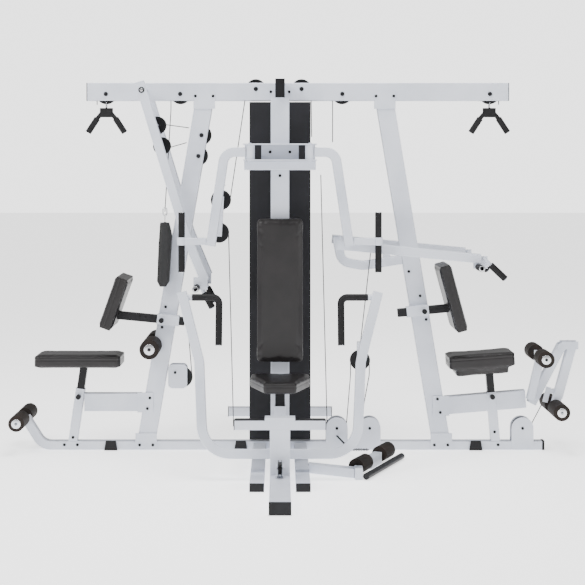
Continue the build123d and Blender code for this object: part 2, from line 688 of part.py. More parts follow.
with BuildPart() as pulley_brackets:
    for x in arch_x:
        for side in (1, -1):
            add(arch_bracket(x, side))
    for side in (1, -1):
        with BuildSketch(upright_plane((low_left[0] - 26, side * tube_d / 2, low_left[1] + 8), (0, side, 0))):
            RectangleRounded(108, 136, 26)
        extrude(amount=4)
    add(bar((low_left[0], -29, low_left[1]), (low_left[0], 29, low_left[1]), 6))
    for side in (1, -1):
        add(slab((-338.5, -60 + side * 16, 1326), (34, 4, 226), (0, 3.4, 0)))
        add(slab((hung_right[0], hung_right[1] + side * 16, hung_right[2] + 42), (34, 4, 122)))
    for spot in hung_left + (hung_right,):
        add(bar((spot[0], spot[1] - 20, spot[2]), (spot[0], spot[1] + 20, spot[2]), 6))
    with Locations((hung_right[0], hung_right[1], hung_right[2] + 101), (-333 + 8, -60, 1436 + 66)):
        Box(34, 36, 6)
strut_pulley = ((-690, 1838), (-664, 1722))
with BuildPart() as strut_pulleys:
    for x, z in strut_pulley:
        add(pulley((x, -70, z), (0, 1, 0), 50))
strut_pins = gather(*(bar((x, row_front_y + arm_w / 2, z), (x, -56, z), 6) for x, z in strut_pulley))

# ---- black plastic and rubber ends, feet and bumpers ----
with BuildPart() as end_caps:
    add(slab((right_end + 7, 0, 26), (14, tube_d, 52)))
    for x, out in ((beam_left, -1), (beam_right, 1)):
        add(slab((x + out * 2.5, 0, beam_z), (5, tube_d, tube_w)))
    add(slab((0, -266, spine_z), (tube_d + 2, 8, tube_w + 2)))
    add(slab((0, back_y - 57, spine_z), (tube_d, 6, tube_w)))
    add(slab((0, front_y + 6, 30), (tube_w + 3, 12, 60)))
    for side in (1, -1):
        add(slab((side * 115, -959, 21), (73, 6, 42)))
        add(slab((side * 332.5, back_y - tube_d / 2, 29), (5, tube_d, 58)))
        add(slab((side * (228 + 2), brace_y, 306), (4, tube_d, tube_d - 4)))
        add(slab((side * 152, brace_y, 331.9), (150, 40, 5)))
with BuildPart() as rubber_feet:
    for x in (-958, -222, 1109):
        with BuildSketch(upright_plane((x, -tube_d / 2, 0), (0, -1, 0))):
            with BuildLine():
                Polyline((-37, 0), (37, 0), (28, 54), (-28, 54), close=True)
            make_face()
        extrude(amount=11)
    for y in stack_y:
        for side in (1, -1):
            with Locations((0, y + side * 98, 58)):
                Cylinder(24, stack_low_z - 58, align=(Align.CENTER, Align.CENTER, Align.MIN))
                Cylinder(rod_r, 200, mode=Mode.SUBTRACT)

# ---- bolt heads on the front faces ----
plate_y = -tube_d / 2 - 5
bolts = [(left_top_x + dx, plate_y, 2006) for dx in (-50, 50)]
bolts += [(right_top_x + dx, plate_y, 2006) for dx in (-50, 50)]
bolts += [(left_low_x + dx, plate_y, 30) for dx in (-37, 38)]
bolts += [(right_low_x + dx, plate_y, 30) for dx in (-40, 36)]
bolts += [(-737, plate_y, 296), (-751, plate_y, 236)]
bolts += [(892, plate_y, 290), (908, plate_y, 214)]
bolts += [(x, -tube_d / 2, z) for x, z in ((-1173, 72), (-1222, 30), (-1148, 30), (1216, 103), (1236, 30))]
bolts += [(x, -tube_d / 2, z) for x, z in ((712, 1108), (730, 1012), (794, 874), (828, 740))]
bolts += [(x, -tube_d / 2, z) for x, z in ((-648, 812), (-668, 696))]
bolts += [(x, -tube_d / 2 - 4, low_pulley_z) for x in arch_x]
bolts += [(low_left[0] - 40, -tube_d / 2 - 4, low_left[1] + 30)]
bolts += [(dx, front_face - 26, 1686) for dx in (-54, 54)]
bolts += [(0, front_face, 1556), (-52, -tube_d / 2, beam_z), (52, -tube_d / 2, beam_z)]
frame_bolts = gather(*(bolt_head(spot, (0, -1, 0)) for spot in bolts))

# ---- hanging handles, strap, and the bar with foam rollers on the floor ----


def v_handle(x):
    """Two splayed grips on a hub, hung from a snap link under a high pulley."""
    with BuildPart() as handle:
        add(slab((x, 0, 1913), (74, 30, 52), (0, 0, 0), 12))
        for side in (1, -1):
            add(bar((x + side * 22, 0, 1915), (x + side * 62, 0, 1868), 12))
            add(bar((x + side * 52, 0, 1880), (x + side * 104, 0, 1800), 17))
        add(bar((x, 0, 1938), (x, 0, 1956), 5))
    return handle


v_handle_left = v_handle(high_x[0])
v_handle_right = v_handle(high_x[1])
strap_x = -648
strap_y = -70
with BuildPart() as ab_strap:
    with BuildSketch(upright_plane((strap_x, strap_y - 20, 1110), (0, 1, 0))):
        with BuildLine():
            Polyline((30, 186), (-26, 186), (-46, 110), (-30, -150), (-8, -184), (30, -184), (48, -150),
                     (40, 60), close=True)
        make_face()
    extrude(amount=40)
    add(bar((strap_x, strap_y, 1290), (strap_x, strap_y, 1344), 5))
with BuildPart() as outrigger:
    add(box_tube((140, -553.6, 26), (392, -668, 26), (0, 0, 1), 50, 50))
    split(bisect_by=Plane.YZ.offset(151.5), keep=Keep.TOP)
    add(slab((404, -690, 30), (40, 60, 60)))
    add(bar((392, -640, 48), (600, -214, 48), axle_r))
    add(slab((497, -424, 34), (44, 150, 60), (0, 0, -26)))
with BuildPart() as floor_bar:
    add(bar((440, -722, 18), (668, -254, 18), 17))
roller_run = Vector(208, 426, 0).normalized()
with BuildPart() as floor_rollers:
    for low, high in ((4, 140), (330, 466)):
        start = Vector(392, -640, 48) + roller_run * low
        end = Vector(392, -640, 48) + roller_run * high
        add(bar(tuple(start), tuple(end), 42, axle_r + gap))
chain = gather(cord_run([(322, -44, 84), (390, -170, 34), (478, -370, 78)], [60], 3.5))

# ---- pull knobs that lock the sliding posts ----


def pull_knob(x, z, y=-tube_d / 2):
    """Spring pin with a round black knob, pulled out toward the front."""
    return gather(bar((x, y - gap, z), (x, y - 20, z), 7), bar((x, y - 18, z), (x, y - 40, z), 14))


left_seat_knob = pull_knob(-1138, 306)
right_seat_knob = pull_knob(1199, 306)
chest_pad_knob = pull_knob(left_sleeve[0] - 34, left_sleeve[1] + 3, sleeve_y - 31)
back_pad_knob = pull_knob(right_sleeve[0] + 34, right_sleeve[1] + 3, sleeve_y - 31)

# ---- cables, along their real routes ----
cable_r = 2.6
run_z = high_z + 54
with BuildPart() as cables:
    add(cord_run([(-1040, 0, 1958), (-1040, 0, run_z), (-720, 0, run_z)], [53], cable_r))
    add(cord_run([(strap_x, strap_y, 1352), (-620, 0, 1930), (-620, 0, run_z), (-250, 0, run_z)],
                 [60, 53], cable_r))
    add(cord_run([(1243, 0, 1958), (1243, 0, run_z), (520, 0, run_z)], [53], cable_r))
    add(cord_run([(299, 0, 1745), (299, 0, run_z), (480, 0, run_z)], [53], cable_r))
    add(cord_run([(180, 0, 1775), (176, 0, 2050)], [], cable_r))
    add(cord_run([(-191, 0, 2040), (-281, -60, 1420)], [], cable_r))
    add(cord_run([(-290, -60, 1234), (-264, -8, 130)], [], cable_r))
    add(cord_run([(230, -60, 1560), (268, 0, 130)], [], cable_r))
    add(cord_run([(514, -40, 1134), (hung_right[0] + 4, -40, 617)], [], cable_r))
    add(cord_run([(377, 0, 130), (399, -40, 430), (399, -40, 565), (505, -40, 565), (505, -40, 430),
                  (454, 0, 130)], [100, 51, 51, 100], cable_r))
    add(cord_run([(1486, 0, 250), (1428, 0, 140)], [], cable_r))
    add(cord_run([(-500, 0, 412), (-524, 0, 704)], [], cable_r))
    add(cord_run([(-640, -70, 1842), (-516, -20, 1826)], [], cable_r))
    add(cord_run([(-614, -70, 1716), (-530, -20, 1742)], [], cable_r))

# ---- write every piece, moved so that the footprint centre is the origin ----
left_side = roller_left_x - foot_roller_r
home = Location((-(left_side + leg_tip_x) / 2, -(front_y + back_y) / 2, 0))
pieces = {
    "base_rail": [base_rail],
    "floor_tubes": [centre_floor_tube, side_floor_tubes, rear_foot],
    "tower_frame": [top_spine, centre_upright, rear_upright],
    "top_beam": [top_beam],
    "left_upright": [left_upright, left_pad_sleeve],
    "right_upright": [right_upright, right_pad_sleeve, press_carrier],
    "left_seat_frame": [left_seat_post_tube, left_seat_member],
    "right_seat_frame": [right_seat_member, right_seat_post_tube, leg_post, roller_post],
    "pec_bracket": [pec_bracket],
    "press_base": [press_base, low_fork],
    "guide_rods": [guide_rods],
    "resting_plates": [resting_plates],
    "stack_shroud": [stack_shroud],
    "centre_back_pad": [centre_back_pad],
    "idler_pulleys": [idler_pulleys],
    "pulley_brackets": [pulley_brackets, pulley_pins],
    "rubber_ends": [end_caps, rubber_feet],
    "bolts_and_pins": [frame_bolts, chest_pad_knob, back_pad_knob],
    "outrigger": [outrigger],
    "floor_bar": [floor_bar],
    "cables": [cables, chain],
    "floor_rollers": [floor_rollers],
    "press_yoke": [press_yoke],
    "press_grips": [press_grips],
    "pec_arm_left": [pec_arm_left],
    "pec_grips_left": [pec_grips_left],
    "pec_arm_right": [pec_arm_right],
    "pec_grips_right": [pec_grips_right],
    "row_arm": [row_axle, row_strut_front, row_strut_rear, strut_pins],
    "row_grips": [row_grips],
    "strut_pulleys": [strut_pulleys],
    "press_arm": [press_arm],
    "press_arm_grips": [press_arm_grips],
    "leg_arm": [leg_arm],
    "leg_rollers": [leg_rollers],
    "upper_rollers": [upper_rollers],
    "thigh_rollers": [thigh_rollers],
    "foot_rollers": [foot_rollers],
    "left_seat_post": [left_seat_post],
    "left_seat_pad": [left_seat_pad],
    "right_seat_post": [right_seat_post],
    "right_seat_pad": [right_seat_pad],
    "centre_seat_post": [centre_seat_post],
    "centre_seat_pad": [centre_seat_pad],
    "chest_pad_bar": [chest_pad_bar],
    "chest_pad": [chest_pad],
    "back_pad_bar": [back_pad_bar],
    "back_pad": [back_pad],
    "carriage_front": [carriage_front],
    "carriage_middle": [carriage_middle],
    "carriage_rear": [carriage_rear],
    "stack_cable_front": [stack_cable_front],
    "stack_cable_middle": [stack_cable_middle],
    "stack_cable_rear": [stack_cable_rear],
    "high_pulley_left": [high_pulley_left],
    "high_pulley_right": [high_pulley_right],
    "v_handle_left": [v_handle_left],
    "v_handle_right": [v_handle_right],
    "ab_strap": [ab_strap],
    "seat_knobs": [left_seat_knob, right_seat_knob],
}
os.makedirs("parts", exist_ok=True)
for label, group in pieces.items():
    solids = [solid.moved(home) for piece in group for solid in piece.part.solids()]
    placed = Compound(children=solids) if len(solids) > 1 else solids[0]
    placed.label = label
    export_step(placed, f"parts/{label}.step")
print(len(pieces), "pieces written")
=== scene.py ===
# %% [markdown]
# # A multi-station home gym, finished in Blender
# The steel, the pads' sizes and every hinge come from the imported CAD frame. This
# lesson gives them their looks: powder coat, leatherette cushions, foam rollers,
# rubber grips and bright hardware. We load the frame first.

# %% Load the frame
import math

import bpy
from mathutils import Matrix, Vector


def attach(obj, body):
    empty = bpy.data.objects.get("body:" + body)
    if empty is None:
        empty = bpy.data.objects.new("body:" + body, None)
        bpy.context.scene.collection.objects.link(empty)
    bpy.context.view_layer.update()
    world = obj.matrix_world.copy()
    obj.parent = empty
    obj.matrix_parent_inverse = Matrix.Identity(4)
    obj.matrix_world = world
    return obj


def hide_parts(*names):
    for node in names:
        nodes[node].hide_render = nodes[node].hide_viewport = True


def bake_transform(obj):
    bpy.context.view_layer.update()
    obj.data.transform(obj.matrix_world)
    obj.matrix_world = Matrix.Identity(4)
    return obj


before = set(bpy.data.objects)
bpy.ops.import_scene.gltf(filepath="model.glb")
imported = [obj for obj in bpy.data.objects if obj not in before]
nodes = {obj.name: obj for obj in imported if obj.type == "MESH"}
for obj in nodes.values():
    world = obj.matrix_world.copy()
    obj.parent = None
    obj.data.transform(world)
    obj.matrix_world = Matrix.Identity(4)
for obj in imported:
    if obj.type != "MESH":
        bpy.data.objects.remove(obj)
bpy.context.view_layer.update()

# %% [markdown]
# ## Camera, floor and light
# The gym stands on a white sweep and is seen through a long lens, from about seven
# metres away, at standing eye height. The camera stays level, so upright tubes stay
# parallel, and the lens is shifted down to frame the gym, as on a view camera.

# %% Camera
CAMERA_AT = (-0.093, -7.0065, 1.587)
LENS_MM = 77.908
SHIFT_RIGHT = 0.02137
SHIFT_DOWN = 0.2094
bpy.ops.object.select_all(action="DESELECT")
bpy.ops.object.camera_add(location=CAMERA_AT, rotation=(math.pi / 2, 0, 0))
camera = bpy.context.object
camera.data.lens = LENS_MM
camera.data.shift_x = SHIFT_RIGHT
camera.data.shift_y = -SHIFT_DOWN
camera.data.clip_end = 60
bpy.context.scene.camera = camera
print("camera lens", round(camera.data.lens, 1), "mm")


# %% [markdown]
# Colours are picked as sRGB hex values, the way a paint chart gives them, and one
# function turns them to the linear values that shaders use. A second helper adds a
# shader node and fills its inputs with numbers or wires, so each material below
# reads as a short list.


# %% Colour and node helpers
def linear(hex_code):
    """Linear RGBA of an sRGB hex colour such as '#e4e6ea'."""
    parts = [int(hex_code[i:i + 2], 16) / 255 for i in (1, 3, 5)]
    return [c / 12.92 if c <= 0.04045 else ((c + 0.055) / 1.055) ** 2.4 for c in parts] + [1.0]


def add_node(material, kind, values, **settings):
    """Add a shader node, or fill one that exists; a value is a number or the output wired in."""
    made = kind if isinstance(kind, bpy.types.ShaderNode) else material.node_tree.nodes.new(kind)
    for name, value in settings.items():
        setattr(made, name, value)
    for key, value in values.items():
        if isinstance(value, bpy.types.NodeSocket):
            material.node_tree.links.new(value, made.inputs[key])
        else:
            made.inputs[key].default_value = value
    return made.outputs


def new_material(name):
    """Empty material, its shader and the object's own coordinates."""
    material = bpy.data.materials.new(name)
    material.use_nodes = True
    where = add_node(material, "ShaderNodeTexCoord", {})["Object"]
    return material, material.node_tree.nodes["Principled BSDF"], where


# %% [markdown]
# The floor is a wide pale sheet. A strong soft box hangs above, a second shines from
# the left and a weak one fills from the right, so white tubes stand out on white:
# bright on top, light grey in front. The room itself only looks brighter than the
# light that it gives.

# %% Floor and lights
FLOOR_WIDE = 60
FLOOR_GLOW = 1.5
ROOM_GIVES = 0.62
ROOM_SHOWS = 2.7
AIM = Vector((0, 0, 1.0))
bpy.ops.object.select_all(action="DESELECT")
bpy.ops.mesh.primitive_plane_add(size=FLOOR_WIDE, location=(0, 10, -0.001))
floor = bpy.context.object
floor.name = "studio_floor"
floor_paint, shader, where = new_material("matt_white_floor")
add_node(floor_paint, shader, {"Base Color": linear("#fafafa"), "Roughness": 0.95,
                               "Emission Color": linear("#ffffff"), "Emission Strength": FLOOR_GLOW})
floor.data.materials.append(floor_paint)

world = bpy.data.worlds.new("bright_studio")
world.use_nodes = True
ray = add_node(world, "ShaderNodeLightPath", {})
level = add_node(world, "ShaderNodeMapRange",
                 {"Value": ray["Is Camera Ray"], "To Min": ROOM_GIVES, "To Max": ROOM_SHOWS})
sky = world.node_tree.nodes["Background"]
add_node(world, sky, {"Color": linear("#ffffff"), "Strength": level["Result"]})
bpy.context.scene.world = world

SOFT_BOXES = {
    "key_box": ((-3.6, -3.6, 4.8), 190, 1.8),
    "fill_box": ((4.2, -4.6, 2.6), 60, 1.6),
    "top_box": ((0.0, -0.4, 5.0), 220, 2.2),
}
for name, (place, watts, size) in SOFT_BOXES.items():
    bpy.ops.object.light_add(type="AREA", location=place)
    lamp = bpy.context.object
    lamp.name = name
    lamp.data.energy = watts
    lamp.data.size = size
    lamp.rotation_euler = (AIM - Vector(place)).to_track_quat("-Z", "Y").to_euler()
print("placed", len(SOFT_BOXES), "soft boxes")

# %% [markdown]
# ## Surfaces
# Most finishes here are one recipe with other numbers: a broad, soft pattern shifts
# the colour and the gloss a little, as handling and dust do, and a fine pattern
# raises the surface. What changes from one to the next is the size of the fine
# pattern in millimetres, its depth, and the shine.


# %% One recipe for worn, patterned surfaces
RELIEF_SHARE = 0.2


def finish(name, paint, mark, shine, grain_mm, depth, patch=4.0, grain="NOISE", **constants):
    """Material with a colour that drifts to mark, a roughness round shine and a fine relief."""
    material, shader, where = new_material(name)
    broad = add_node(material, "ShaderNodeTexNoise", {"Vector": where, "Scale": patch, "Detail": 6.0})
    if grain == "NOISE":
        fine = add_node(material, "ShaderNodeTexNoise",
                        {"Vector": where, "Scale": 1000 / grain_mm, "Detail": 3.0})["Fac"]
    else:
        fine = add_node(material, "ShaderNodeTexVoronoi",
                        {"Vector": where, "Scale": 1000 / grain_mm}, feature=grain)["Distance"]
    spread = add_node(material, "ShaderNodeMapRange",
                      {"Value": broad["Fac"], "From Min": 0.4, "From Max": 0.72})
    colour = add_node(material, "ShaderNodeMix",
                      {"Factor": spread["Result"], 6: linear(paint), 7: linear(mark)}, data_type="RGBA")
    rough = add_node(material, "ShaderNodeMapRange",
                     {"Value": broad["Fac"], "To Min": shine - 0.06, "To Max": shine + 0.12})
    bump = add_node(material, "ShaderNodeBump",
                    {"Height": fine, "Strength": depth, "Distance": grain_mm * RELIEF_SHARE / 1000})
    add_node(material, shader, {"Base Color": colour[2], "Roughness": rough["Result"],
                                "Normal": bump["Normal"], **constants})
    return material


# %% [markdown]
# Gym tube is sprayed with polyester powder and baked. Up close the coat is a fine
# orange peel a couple of millimetres across. The cushions are black leatherette,
# whose pebbles are small closed cells. Foam rollers have a matt, open-pored skin,
# and the grips are moulded rubber.

# %% Paints, leatherette, foam and rubber
MATT = {"Specular IOR Level": 0.22}
SATIN = {"Specular IOR Level": 0.38}
white_coat = finish("white_powder_coat", "#d3d7e1", "#c3c8d3", 0.34, 2.2, 0.30, IOR=1.5)
black_coat = finish("black_powder_coat", "#111113", "#1b1b1e", 0.40, 2.2, 0.35, **MATT)
shroud_coat = finish("charcoal_texture_coat", "#1d1d20", "#252529", 0.55, 3.0, 0.6, **MATT)
leatherette = finish("black_leatherette", "#151314", "#1c191a", 0.34, 1.6, 0.5, patch=9.0,
                     grain="SMOOTH_F1", **SATIN)
foam = finish("black_skinned_foam", "#1c1714", "#2a221e", 0.70, 1.2, 0.9, patch=14.0, grain="F1", **MATT)
rubber = finish("moulded_black_rubber", "#131314", "#1d1c1e", 0.62, 0.9, 0.5, patch=30.0, **MATT)
nylon = finish("black_moulded_nylon", "#0e0e10", "#17171a", 0.38, 1.4, 0.2, patch=12.0, **MATT)
print("paints, leatherette, foam and rubber ready")

# %% [markdown]
# The bright parts are chromed steel with a faint brushed grain, and the chain is
# duller zinc plate. The weight plates are grey-black cast iron with a pitted skin,
# the cables are black nylon over wire and the strap is woven webbing.

# %% Metals, cable and webbing
chrome = finish("bright_chrome", "#d8d9dc", "#c2c3c7", 0.16, 0.8, 0.05, patch=8.0, Metallic=1.0)
zinc = finish("zinc_plated_chain", "#85878c", "#6f7176", 0.34, 0.8, 0.1, patch=40.0, Metallic=1.0)
iron = finish("painted_cast_iron", "#2b2b2d", "#38373a", 0.6, 4.5, 0.8, patch=7.0)
cable_skin = finish("black_nylon_cable", "#101012", "#1c1c1f", 0.35, 1.0, 0.3, patch=20.0)

webbing, shader, where = new_material("woven_black_webbing")
ribs = add_node(webbing, "ShaderNodeTexWave", {"Vector": where, "Scale": 110.0, "Distortion": 0.4},
                bands_direction="Z")
yarn = add_node(webbing, "ShaderNodeTexNoise", {"Vector": where, "Scale": 500.0, "Detail": 2.0})
weave = add_node(webbing, "ShaderNodeMath", {0: ribs["Fac"], 1: yarn["Fac"]}, operation="MULTIPLY")
tint = add_node(webbing, "ShaderNodeMix", {"Factor": weave[0], 6: linear("#0f0f10"), 7: linear("#2a2a2c")},
                data_type="RGBA")
bump = add_node(webbing, "ShaderNodeBump", {"Height": weave[0], "Strength": 0.7, "Distance": 0.0008})
add_node(webbing, shader, {"Base Color": tint[2], "Roughness": 0.8, "Normal": bump["Normal"],
                           "Sheen Weight": 0.2})
print("metals, cable and webbing ready")

# %% [markdown]
# Every CAD node came in with a named slot. Swapping the plain stand-in for the real
# finish, slot by slot, paints the whole frame in one loop.

# %% Paint the frame
FINISHES = {
    "frame": white_coat, "black_steel": black_coat, "shroud": shroud_coat,
    "vinyl": leatherette, "foam": foam, "grip": rubber, "plastic": nylon,
    "steel": chrome, "iron": iron, "cable": cable_skin, "webbing": webbing,
}
for node in nodes.values():
    for place in node.material_slots:
        place.material = FINISHES[place.material.name]
print("painted", len(nodes), "nodes")

# %% [markdown]
# ## Cushions
# A gym cushion is foam on a board with leatherette pulled over it and stapled
# behind, so its face crowns and its edges stay full. Each one starts as a closed
# copy of its CAD solid, made of even little squares by a voxel remesh. Cloth
# pressure then blows it up a few millimetres. The copy starts slightly small, and
# no point may go further than the cap, so the cushion keeps its real size.


# %% Blow up one cushion
WELD = 0.00002
PRESSURE = 4.0
LAST_FRAME = 20


def cushion(node, body, cap, shrink, voxel=0.006, cover=None):
    """Crowned piece, covered in leatherette or another cover, that stands for a CAD pad."""
    bpy.ops.object.select_all(action="DESELECT")
    bpy.ops.mesh.primitive_cube_add()
    pad = bpy.context.object
    pad.name = node + "_cushion"
    pad.data = nodes[node].data.copy()
    bpy.ops.object.mode_set(mode="EDIT")
    bpy.ops.mesh.select_all(action="SELECT")
    bpy.ops.mesh.remove_doubles(threshold=WELD)
    bpy.ops.mesh.normals_make_consistent(inside=False)
    bpy.ops.mesh.customdata_custom_splitnormals_clear()
    bpy.ops.object.mode_set(mode="OBJECT")
    remesh = pad.modifiers.new("even_squares", "REMESH")
    remesh.mode = "VOXEL"
    remesh.voxel_size = voxel
    bpy.ops.object.modifier_apply(modifier=remesh.name)
    start = [v.co.copy() for v in pad.data.vertices]
    normals = [v.normal.copy() for v in pad.data.vertices]
    for vertex, normal in zip(pad.data.vertices, normals):
        vertex.co -= normal * shrink
    cloth = pad.modifiers.new("foam_pressure", "CLOTH")
    cloth.settings.use_pressure = True
    cloth.settings.uniform_pressure_force = PRESSURE
    cloth.settings.effector_weights.gravity = 0.0
    cloth.point_cache.frame_start = 1
    cloth.point_cache.frame_end = LAST_FRAME
    for step in range(1, LAST_FRAME + 1):
        bpy.context.scene.frame_set(step)
    bpy.ops.object.modifier_apply(modifier=cloth.name)
    bpy.context.scene.frame_set(1)
    for vertex, before in zip(pad.data.vertices, start):
        move = vertex.co - before
        if move.length > cap:
            vertex.co = before + move * (cap / move.length)
    bpy.ops.object.shade_smooth()
    pad.data.materials.clear()
    pad.data.materials.append(cover or leatherette)
    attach(pad, body)
    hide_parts(node)
    return pad


# %% [markdown]
# The cover of a cushion is cut in panels, and the seam between the face panel and
# the side panel pulls in. After one subdivision the seam is pressed in as a shallow
# groove, all the way round, where a plane through the pad meets its side.

# %% Press a seam into a cushion
def seam(pad, at, facing, depth=0.0016, half_width=0.004):
    """Groove where the plane through at, square to facing, meets the pad's side."""
    bpy.ops.object.select_all(action="DESELECT")
    pad.select_set(True)
    bpy.context.view_layer.objects.active = pad
    finer = pad.modifiers.new("finer", "SUBSURF")
    finer.levels = 1
    finer.render_levels = 1
    bpy.ops.object.modifier_apply(modifier=finer.name)
    facing = Vector(facing).normalized()
    normals = [v.normal.copy() for v in pad.data.vertices]
    for vertex, normal in zip(pad.data.vertices, normals):
        away = abs((vertex.co - Vector(at)).dot(facing))
        if away < half_width:
            vertex.co -= normal * depth * (1 + math.cos(math.pi * away / half_width)) / 2
    bpy.ops.object.select_all(action="DESELECT")


# %% [markdown]
# Six cushions follow. Each row gives the body it rides on, how far its cover may
# swell, a point on its seam and the way its face points. Three of the faces lean. A
# copy is shrunk by 0.7 of what it may swell.

# %% The six cushions
CHEST_LEAN = math.radians(19.3)
BACK_LEAN = math.radians(15.0)
SEAT_LEAN = math.radians(4.1)
UP = (0, 0, 1)
SEAT_UP = (-math.sin(SEAT_LEAN), 0, math.cos(SEAT_LEAN))
CHEST_OUT = (-math.cos(CHEST_LEAN), 0, math.sin(CHEST_LEAN))
BACK_OUT = (math.cos(BACK_LEAN), 0, math.sin(BACK_LEAN))
SHRINK = 0.7
CUSHIONS = {
    "centre_back_pad": ("frame", 0.007, (-0.093, -0.076, 0.93), (0, -1, 0)),
    "centre_seat_pad": ("centre_seat", 0.005, (-0.093, -0.29, 0.462), UP),
    "left_seat_pad": ("left_seat", 0.006, (-1.228, 0.18, 0.522), UP),
    "right_seat_pad": ("right_seat", 0.005, (1.040, 0.18, 0.530), SEAT_UP),
    "chest_pad": ("chest_support", 0.006, (-1.021, 0.136, 0.850), CHEST_OUT),
    "back_pad": ("back_support", 0.006, (0.875, 0.136, 0.876), BACK_OUT),
}
for node, (body, swell, seam_at, facing) in CUSHIONS.items():
    pad = cushion(node, body, cap=swell, shrink=swell * SHRINK)
    seam(pad, seam_at, facing)
    print(node, len(pad.data.polygons), "faces")

# %% [markdown]
# The ab strap is a slim padded sling sewn from webbing, with a seam down its edge. It
# is blown up in the same way, less tightly. The foam rollers keep their turned shape.

# %% The sling
sling = cushion("ab_strap", "strap", cap=0.005, shrink=0.004, voxel=0.004, cover=webbing)
seam(sling, (-0.741, 0.1235, 1.11), (0, 1, 0), depth=0.0014)
print("sewed the sling:", len(sling.data.polygons), "faces")


# %% [markdown]
# ## Bright ends on the foam and the grips
# A foam roller slides on a steel axle and is held by a chromed cap with a small
# screw. Each is a short turned disc: a primitive, bevelled, with its place applied
# so that the object itself stays at the origin.


# %% Turned discs
SMOOTH_ANGLE = math.radians(40)


def disc(name, centre, facing, radius, thick, finish_with, body, bevel=0.0015, sides=40):
    """Bevelled cylinder whose axis is facing, riding on a body."""
    turn = Vector(facing).to_track_quat("Z", "Y").to_euler()
    bpy.ops.object.select_all(action="DESELECT")
    bpy.ops.mesh.primitive_cylinder_add(vertices=sides, radius=radius, depth=thick, location=centre,
                                        rotation=turn)
    made = bpy.context.object
    made.name = name
    bpy.ops.object.transform_apply(location=True, rotation=True, scale=True)
    edge = made.modifiers.new("edge", "BEVEL")
    edge.width = bevel
    edge.segments = 3
    edge.limit_method = "ANGLE"
    bpy.ops.object.modifier_apply(modifier=edge.name)
    bpy.ops.object.shade_smooth_by_angle(angle=SMOOTH_ANGLE)
    made.data.materials.append(finish_with)
    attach(made, body)


ROLLERS = {
    "foot": ("foot_foam", (-1.553, 0.182), 0.026, (-0.0045, 0.3915)),
    "thigh": ("thigh_foam", (-0.814, 0.597), 0.030, (-0.0325, 0.4195)),
    "upper": ("upper_foam", (1.380, 0.537), 0.026, (-0.0065, 0.3935)),
    "leg": ("leg_foam", (1.467, 0.243), 0.026, (-0.0045, 0.3915)),
}
CAP_THICK = 0.006
CAP_PROUD = 0.001
SCREW_PROUD = 0.005
SCREW_SHARE = 0.36
for name, (body, (x, z), radius, ends) in ROLLERS.items():
    for end, y, out in zip(("front", "rear"), ends, (-1, 1)):
        disc(f"{name}_roller_cap_{end}", (x, y + out * CAP_PROUD, z), (0, out, 0), radius, CAP_THICK,
             chrome, body)
        disc(f"{name}_roller_screw_{end}", (x, y + out * SCREW_PROUD, z), (0, out, 0),
             radius * SCREW_SHARE, CAP_THICK, black_coat, body, bevel=0.001, sides=6)
print("capped", len(ROLLERS), "pairs of rollers")

# %% [markdown]
# Grip ends get the same treatment: a bright plug stands a little proud of each
# rubber tube. The grips of the press yoke lean with the yoke, so their plugs do too.

# %% Grip plugs
YOKE_REACH = 0.185
YOKE_DROP = 0.811
YOKE_LEAN = math.atan2(YOKE_REACH, YOKE_DROP)
YOKE_DOWN = (0, -math.sin(YOKE_LEAN), -math.cos(YOKE_LEAN))
PLUG_RADIUS = 0.0165
PLUG_THICK = 0.005
PLUGS = {
    "yoke_left_plug": ((-0.414, -0.3830, 0.6690), YOKE_DOWN, "press_yoke_body"),
    "yoke_right_plug": ((0.228, -0.3830, 0.6690), YOKE_DOWN, "press_yoke_body"),
    "pec_left_top_plug": ((-0.627, -0.1365, 1.3565), (0, 0, 1), "pec_left"),
    "pec_left_low_plug": ((-0.627, -0.1365, 1.0335), (0, 0, -1), "pec_left"),
    "pec_right_top_plug": ((0.441, -0.1365, 1.3565), (0, 0, 1), "pec_right"),
    "pec_right_low_plug": ((0.441, -0.1365, 1.0335), (0, 0, -1), "pec_right"),
    "row_front_plug": ((-0.555, -0.0900, 0.935), (0, -1, 0), "row"),
    "row_rear_plug": ((-0.555, 0.5370, 0.935), (0, 1, 0), "row"),
    "press_front_plug": ((0.993, -0.2000, 1.056), (0, -1, 0), "shoulder_press"),
    "press_rear_plug": ((0.993, 0.6740, 1.056), (0, 1, 0), "shoulder_press"),
}
for name, (centre, facing, body) in PLUGS.items():
    disc(name, centre, facing, PLUG_RADIUS, PLUG_THICK, chrome, body)
print("plugged", len(PLUGS), "grips")

# %% [markdown]
# The V handles and the ab strap hang from snap links. A link is a ring of 6 mm
# chromed wire, longer than it is wide: a torus whose top half moves up and whose
# low half moves down, so that the wire stays round at both ends.

# %% Snap links
def snap_link(name, centre, across, half_height, body, half_width=0.011, wire=0.003, level=0.0006):
    """Oval ring of wire standing in the plane of Z and across; points level with its centre stay."""
    turn = (math.pi / 2, 0, 0) if across == "X" else (math.pi / 2, 0, math.pi / 2)
    bpy.ops.object.select_all(action="DESELECT")
    bpy.ops.mesh.primitive_torus_add(major_radius=half_width, minor_radius=wire, major_segments=40,
                                     minor_segments=12, location=centre, rotation=turn)
    link = bpy.context.object
    link.name = name
    bpy.ops.object.transform_apply(location=True, rotation=True, scale=True)
    for vertex in link.data.vertices:
        rise = vertex.co.z - centre[2]
        if abs(rise) > level:
            vertex.co.z += math.copysign(half_height - half_width, rise)
    bpy.ops.object.shade_smooth()
    link.data.materials.append(chrome)
    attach(link, body)


